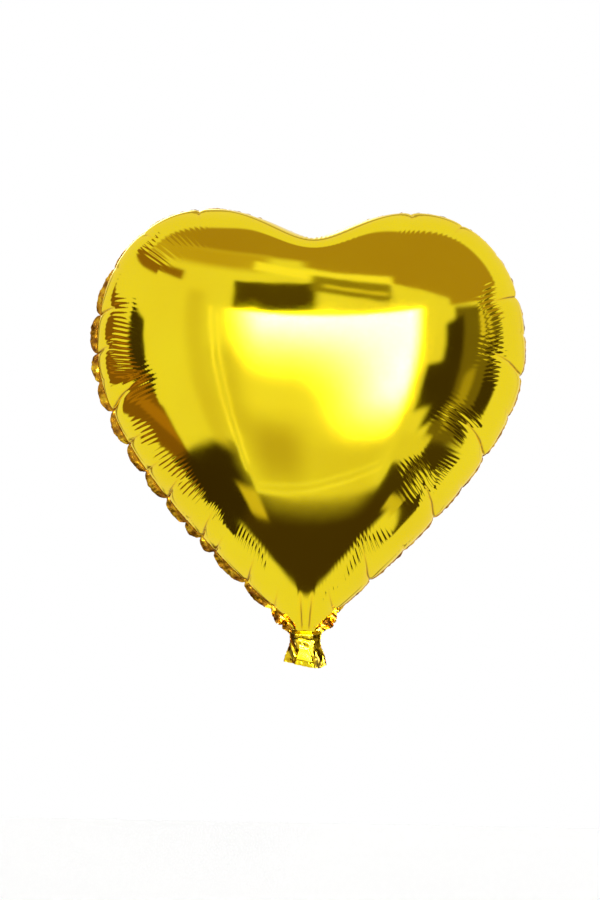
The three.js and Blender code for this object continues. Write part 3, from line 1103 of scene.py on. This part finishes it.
seen = lay_card(seen, DARK_WOOD, 74, -13, 6.5, 12, soft=3)
seen = lay_card(seen, (0.78, 0.70, 0.50), 66, 14, 5, 6)
seen = lay_card(seen, DARK_WOOD, 66, 14, 0.8, 7)
seen = lay_card(seen, (0.065, 0.045, 0.020), 64, -35, 27, 7.5, slant=-0.22)
seen = lay_card(seen, (0.72, 0.66, 0.46), 57, -41, 8, 1.8, slant=-0.2)
seen = lay_card(seen, (0.86, 0.83, 0.72), 43, -25, 8, 4, slant=-0.3)
seen = lay_card(seen, DARK_WOOD, 46, 0, 4.5, 18, soft=3, slant=0.3)

# %% Window cards
seen = lay_card(seen, WALL, -44, 8, 15, 27, soft=1.5, slant=-0.15)
seen = lay_card(seen, (0.80, 0.76, 0.62), -34, 4, 3.5, 27, soft=5)
seen = lay_card(seen, (1.02, 1.01, 0.96), 3, -3, 30.5, 30, soft=1.5, slant=0.05)
seen = lay_card(seen, (0.83, 0.79, 0.66), 3, -25, 30, 10, soft=16)
seen = lay_card(seen, (0.80, 0.76, 0.62), -25, -5, 5, 14, soft=8)
seen = lay_card(seen, (0.60, 0.52, 0.36), -12, -21, 9, 8, soft=14)
for inset, glow in ((0.0, 1.35), (2.4, 1.25)):
    seen = lay_card(seen, (glow, glow, glow), -28.2 + inset, -2, 0.45, 27 - inset, soft=0.9, slant=-0.15)
    seen = lay_card(seen, (0.8 * glow,) * 3, 3, -31.5 + inset, 30 - inset, 0.45, soft=0.9, slant=0.10)
seen = lay_card(seen, (1.12, 1.10, 1.0), 3, 45, 20, 3.0, soft=2, slant=-0.25)
seen = lay_card(seen, (0.085, 0.060, 0.022), -10, 33, 11.5, 7, soft=1.5, slant=0.08)
seen = lay_card(seen, (0.30, 0.25, 0.14), 11, 37.5, 11, 4.5, soft=2, slant=-0.35)
seen = lay_card(seen, (0.80, 0.74, 0.5), 12, 36.2, 9, 1.0, soft=1.5, slant=-0.35)
seen = lay_card(seen, DARK_WOOD, 40.5, -5, 5, 7.5, soft=2)
seen = lay_card(seen, (0.97, 0.93, 0.80), 0, -76, 26, 9, soft=4)

# %% Window glow
GLOW = (56.0, 56.0, 54.0)


def product(*masks):
    out = masks[0]
    for mask in masks[1:]:
        out = field_math(sky, "MULTIPLY", out, mask)
    return out


from_right = product(ramp(azimuth, -6, 28), ramp(elevation, -26, -2))
from_top = product(ramp(elevation, -8, 26), ramp(azimuth, -28, -12))
either = field_math(sky, "SUBTRACT", field_math(sky, "ADD", from_right, from_top),
                    product(from_right, from_top))
framed = product(ramp(azimuth, 33, 28), ramp(elevation, 25.5, 23.5), ramp(azimuth, -30, -24))
glow = add_node(sky, "ShaderNodeMix", data_type="RGBA", blend_type="ADD")
sky.links.new(product(field_math(sky, "POWER", either, 3.0), framed), glow.inputs["Factor"])
sky.links.new(seen, glow.inputs["A"])
glow.inputs["B"].default_value = (*GLOW, 1)
seen = glow.outputs["Result"]

# %% Cards behind
seen = lay_card(seen, (0.50, 0.42, 0.30), 0, 52, 60, 18, soft=6, limit=0.72, behind=True)
seen = lay_card(seen, (0.16, 0.105, 0.055), 0, -50, 60, 20, soft=6, limit=0.72, behind=True)
seen = lay_card(seen, (0.30, 0.21, 0.12), -46, -4, 9, 22, soft=4, limit=0.72, behind=True)
seen = lay_card(seen, (0.24, 0.16, 0.09), 50, 2, 7, 24, soft=4, limit=0.72, behind=True)
seen = lay_card(seen, (5.0, 5.0, 4.8), -12, 16, 8, 8, soft=8, limit=0.72, behind=True)

# %% World output
studio = add_node(sky, "ShaderNodeBackground")
sky.links.new(seen, studio.inputs[0])
plain = add_node(sky, "ShaderNodeBackground")
plain.inputs[0].default_value = (1, 1, 1, 1)
ray = add_node(sky, "ShaderNodeLightPath")
choose = add_node(sky, "ShaderNodeMixShader")
sky.links.new(ray.outputs["Is Glossy Ray"], choose.inputs[0])
sky.links.new(plain.outputs[0], choose.inputs[1])
sky.links.new(studio.outputs[0], choose.inputs[2])
sky.links.new(choose.outputs[0], add_node(sky, "ShaderNodeOutputWorld").inputs[0])
bpy.context.scene.view_settings.view_transform = "Standard"
print(len(sky.nodes), "nodes in the studio")

# %% [markdown]
# ## The floor
# The balloon floats well above a pale floor. The floor is left out of the mirror reflections,
# because the studio's own floor is already drawn there.

# %% Floor
FLOOR_LEVEL = -0.75
FLOOR_HALF = 3.0
floor_material, tree, shader = principled("pale_floor", Roughness=0.9)
tree.links.new(color_ramp(tree, noise_on_object(tree, 2.0).outputs[0],
                          [(0.3, (0.97, 0.97, 0.965, 1)), (0.7, (0.99, 0.99, 0.985, 1))]),
               shader.inputs["Base Color"])
corners = np.array([(-1, -1, 0), (1, -1, 0), (1, 1, 0), (-1, 1, 0)]) * FLOOR_HALF + (0, 0, FLOOR_LEVEL)
floor = mesh_object("floor", corners, [(0, 1, 2, 3)], floor_material)
floor.visible_glossy = False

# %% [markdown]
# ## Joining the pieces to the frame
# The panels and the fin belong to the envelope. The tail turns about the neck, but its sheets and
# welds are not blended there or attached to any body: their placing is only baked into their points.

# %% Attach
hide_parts("front_panel")
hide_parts("rear_panel")
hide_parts("perimeter_seam")
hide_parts("tail_front_flap")
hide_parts("tail_rear_flap")
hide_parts("tail_left_seam")
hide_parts("tail_right_seam")
for piece in (front_foil, rear_foil, seam_fin):
    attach(piece, "envelope")
for piece in (tail_front_foil, tail_rear_foil, *tail_welds):
    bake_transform(piece)
